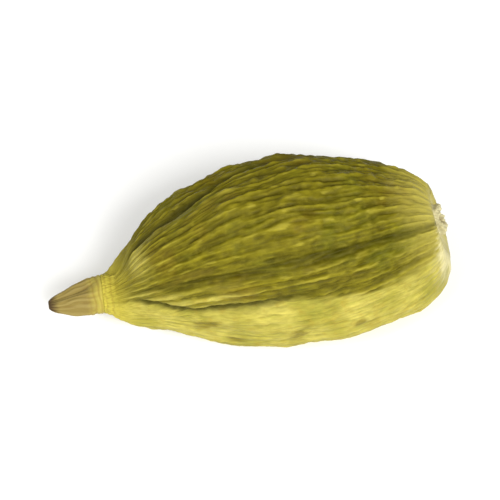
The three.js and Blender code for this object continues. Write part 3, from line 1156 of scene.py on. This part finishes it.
stalk_finish, tree = new_material("broken_dry_stalk")
place = add_node(tree, "ShaderNodeTexCoord").outputs["Object"]
fibre = add_node(tree, "ShaderNodeAttribute", attribute_name="fibre").outputs["Fac"]
hollow = add_node(tree, "ShaderNodeAttribute", attribute_name="hollow").outputs["Fac"]
grit = add_node(tree, "ShaderNodeTexNoise", {
    "Vector": place, "Scale": 1 / (GRIT_SIZE * MM), "Detail": 4, "Roughness": 0.6,
}).outputs["Fac"]
straw_share = add_node(tree, "ShaderNodeMath", {
    0: fibre, 1: grit,
}, operation="MULTIPLY").outputs["Value"]
stalk_colour = add_node(tree, "ShaderNodeMix", {
    MIX_FACTOR: straw_share, MIX_A: linear(STALK_GREY), MIX_B: linear(STALK_STRAW),
}, data_type="RGBA").outputs[MIX_OUT]
# Browner inside the hollow of the stub, towards its axis.
with_pith = add_node(tree, "ShaderNodeMix", {
    MIX_FACTOR: hollow, MIX_A: stalk_colour, MIX_B: linear(HOLLOW_BROWN),
}, data_type="RGBA").outputs[MIX_OUT]
stalk_bump = add_node(tree, "ShaderNodeBump", {
    "Strength": 0.7, "Distance": STALK_BUMP * MM, "Height": grit,
})
stem = add_node(tree, "ShaderNodeBsdfPrincipled", {
    "Base Color": with_pith, "Roughness": 0.8, "IOR": 1.45, "Specular IOR Level": 0.3,
    "Normal": stalk_bump.outputs["Normal"],
})
add_node(tree, "ShaderNodeOutputMaterial", {"Surface": stem.outputs["BSDF"]})
stalk.data.materials.append(stalk_finish)
print(stalk_finish.name, "has", len(tree.nodes), "nodes")

# %% [markdown]
# ## The table
# The pod lies on a plain white table, which is stage and not part of the object.

# %% Table
TABLE_WHITE = "#f7f7f5"
TABLE_SIZE = 2.0

floor_mesh = bpy.data.meshes.new("table")
half = TABLE_SIZE / 2
corners = [(-half, -half, 0), (half, -half, 0), (half, half, 0), (-half, half, 0)]
floor_mesh.from_pydata(corners, [], [(0, 1, 2, 3)])
floor = bpy.data.objects.new("table", floor_mesh)
bpy.context.scene.collection.objects.link(floor)
table_finish, tree = new_material("white_table")
matte = add_node(tree, "ShaderNodeBsdfPrincipled", {
    "Base Color": linear(TABLE_WHITE), "Roughness": 0.9, "Specular IOR Level": 0.2,
})
add_node(tree, "ShaderNodeOutputMaterial", {"Surface": matte.outputs["BSDF"]})
floor_mesh.materials.append(table_finish)
print("table, m:", TABLE_SIZE)

# %% [markdown]
# ## The light
# A large soft lamp in front of the pod, to the right of the viewer, lights its lower, paler side,
# and a weaker one fills the shade from the left. The colours are shown as they are, without a
# film curve, so that they can be compared by eye.

# %% Light
SKY_WHITE = "#ffffff"
SKY_STRENGTH = 0.5
LAMP_DISTANCE = 0.4

world = bpy.data.worlds.new("studio")
bpy.context.scene.world = world
world.use_nodes = True
sky = world.node_tree.nodes["Background"]
sky.inputs["Color"].default_value = linear(SKY_WHITE)
sky.inputs["Strength"].default_value = SKY_STRENGTH
bpy.context.scene.view_settings.view_transform = "Standard"


def direction(azimuth, elevation):
    """The unit vector towards a place at an azimuth, from -Y round by +X, and an elevation."""
    a, e = math.radians(azimuth), math.radians(elevation)
    return Vector((math.sin(a) * math.cos(e), -math.cos(a) * math.cos(e), math.sin(e)))


def soft_lamp(name, azimuth, elevation, size, power):
    """A square lamp that looks at the pod: its side in metres, its power in watts."""
    light = bpy.data.lights.new(name, "AREA")
    light.size = size
    light.energy = power
    lamp = bpy.data.objects.new(name, light)
    lamp.location = LAMP_DISTANCE * direction(azimuth, elevation)
    lamp.rotation_euler = direction(azimuth, elevation).to_track_quat("Z", "Y").to_euler()
    bpy.context.scene.collection.objects.link(lamp)
    print(name, power, "W")


soft_lamp("key_lamp", azimuth=20, elevation=42, size=0.2, power=1.75)
soft_lamp("fill_lamp", azimuth=-60, elevation=45, size=0.25, power=0.85)

# %% [markdown]
# ## The camera
# The camera looks down on the pod at about 55 degrees, from a little to the left of its middle,
# through a long lens. The pod fills about four fifths of the picture's width.

# %% Camera
VIEW_AZIMUTH = -8
VIEW_ELEVATION = 55
LENS = 200
SENSOR = 36
PICTURE_SHARE = 0.81
NEAREST = 0.001

camera_data = bpy.data.cameras.new("camera")
camera_data.lens = LENS
camera_data.sensor_width = SENSOR
camera_data.clip_start = NEAREST
camera = bpy.data.objects.new("camera", camera_data)
toward = direction(VIEW_AZIMUTH, VIEW_ELEVATION)
turned = toward.to_track_quat("Z", "Y").to_matrix()

every_point = np.array([v.co for piece in (husk, beak, stalk) for v in piece.data.vertices])
seen = every_point @ np.array(turned)
middle = (seen.min(axis=0) + seen.max(axis=0)) / 2
picture_width = np.ptp(seen[:, 0]) / PICTURE_SHARE
middle[2] += picture_width * LENS / SENSOR
camera.location = turned @ Vector(middle)
camera.rotation_euler = turned.to_euler()
print("picture width, mm:", round(1000 * picture_width, 2))
bpy.context.scene.collection.objects.link(camera)
bpy.context.scene.camera = camera
